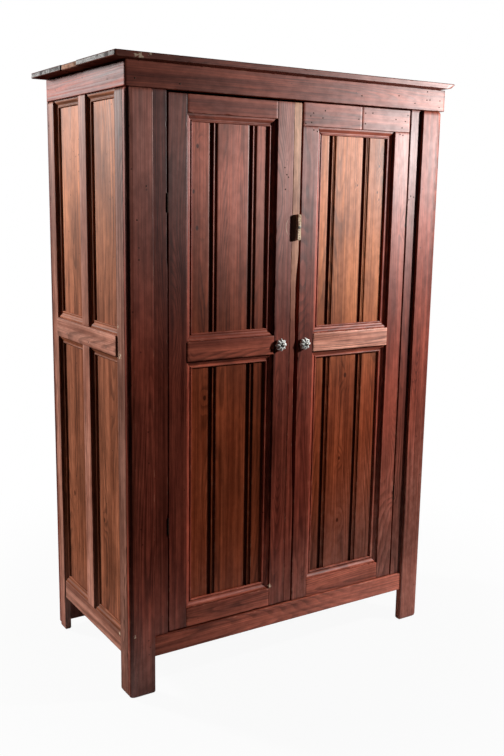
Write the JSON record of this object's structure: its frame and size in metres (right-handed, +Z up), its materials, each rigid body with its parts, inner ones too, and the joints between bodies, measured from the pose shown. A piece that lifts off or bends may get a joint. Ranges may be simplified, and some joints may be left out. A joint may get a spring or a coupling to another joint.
{
  "type": "wardrobe",
  "caption": "Free-standing stained pine wardrobe with panelled sides, hinged framed doors of beaded boards, glass knobs, a turn button and an inside rail for clothes.",
  "frame": {"origin": "on the floor under the middle of the overall box", "axes": "+Z up, -Y out of the doors, +X to the right as seen from the front"},
  "size_m": [1.178, 0.613, 1.8],
  "materials": {
    "stained_pine": "dark red-brown stain, worn",
    "newer_pine": "lighter orange-brown stain",
    "hinge_iron": "dark, lightly rusted",
    "bolt_steel": "dull",
    "knob_glass": "clear pressed glass"
  },
  "bodies": {
    "case": {"post_left": "stained_pine", "side_front_stile_left": "stained_pine", "side_rear_stile_left": "stained_pine", "side_bottom_rail_left": "stained_pine", "side_panel_left": "stained_pine", "side_frieze_left": "stained_pine", "side_muntin_left": "stained_pine", "side_mid_rail_left": "stained_pine", "face_strip_left": "stained_pine", "floor_bearer_left": "stained_pine", "rail_socket_left": "stained_pine", "left_upper_hinge_frame_leaf": "hinge_iron", "left_lower_hinge_frame_leaf": "hinge_iron", "post_right": "stained_pine", "side_front_stile_right": "stained_pine", "side_rear_stile_right": "stained_pine", "side_bottom_rail_right": "stained_pine", "side_panel_right": "stained_pine", "side_frieze_right": "stained_pine", "side_muntin_right": "stained_pine", "side_mid_rail_right": "stained_pine", "face_strip_right": "stained_pine", "floor_bearer_right": "stained_pine", "rail_socket_right": "stained_pine", "right_upper_hinge_frame_leaf": "hinge_iron", "right_lower_hinge_frame_leaf": "hinge_iron", "front_frieze": "stained_pine", "front_bottom_rail": "stained_pine", "top_board_front": "stained_pine", "top_board_middle": "newer_pine", "top_board_rear": "stained_pine", "back_panel": "stained_pine", "floor_board_front": "stained_pine", "floor_board_rear": "stained_pine", "hanging_rail": "stained_pine"},
    "left_door": {"left_door_hinge_stile": "stained_pine", "left_door_meeting_stile": "stained_pine", "left_door_mid_rail": "stained_pine", "left_door_bottom_rail": "stained_pine", "left_door_panel": "stained_pine", "left_upper_hinge_door_leaf": "hinge_iron", "left_lower_hinge_door_leaf": "hinge_iron", "left_glass_knob": "knob_glass", "left_knob_bolt": "bolt_steel", "left_door_top_rail": "stained_pine", "left_door_edge_strip": "newer_pine", "turn_button_screw": "bolt_steel"},
    "right_door": {"right_door_hinge_stile": "stained_pine", "right_door_meeting_stile": "stained_pine", "right_door_mid_rail": "stained_pine", "right_door_bottom_rail": "stained_pine", "right_door_panel": "stained_pine", "right_upper_hinge_door_leaf": "hinge_iron", "right_lower_hinge_door_leaf": "hinge_iron", "right_glass_knob": "knob_glass", "right_knob_bolt": "bolt_steel", "right_door_top_board_inner": "stained_pine", "right_door_top_board_outer": "stained_pine"},
    "turn_button": {"turn_button": "stained_pine"}
  },
  "joints": [
    {"name": "left_door_swing", "type": "hinge", "parent": "case", "child": "left_door", "pos_m": [-0.4132, -0.2531, 0.9], "axis": [0, 0, -1], "range_deg": [0, 150]},
    {"name": "right_door_swing", "type": "hinge", "parent": "case", "child": "right_door", "pos_m": [0.4412, -0.2531, 0.9], "axis": [0, 0, 1], "range_deg": [0, 150]},
    {"name": "button_turn", "type": "hinge", "parent": "left_door", "child": "turn_button", "pos_m": [0.016, -0.2528, 1.358], "axis": [0, -1, 0], "continuous": true}
  ]
}
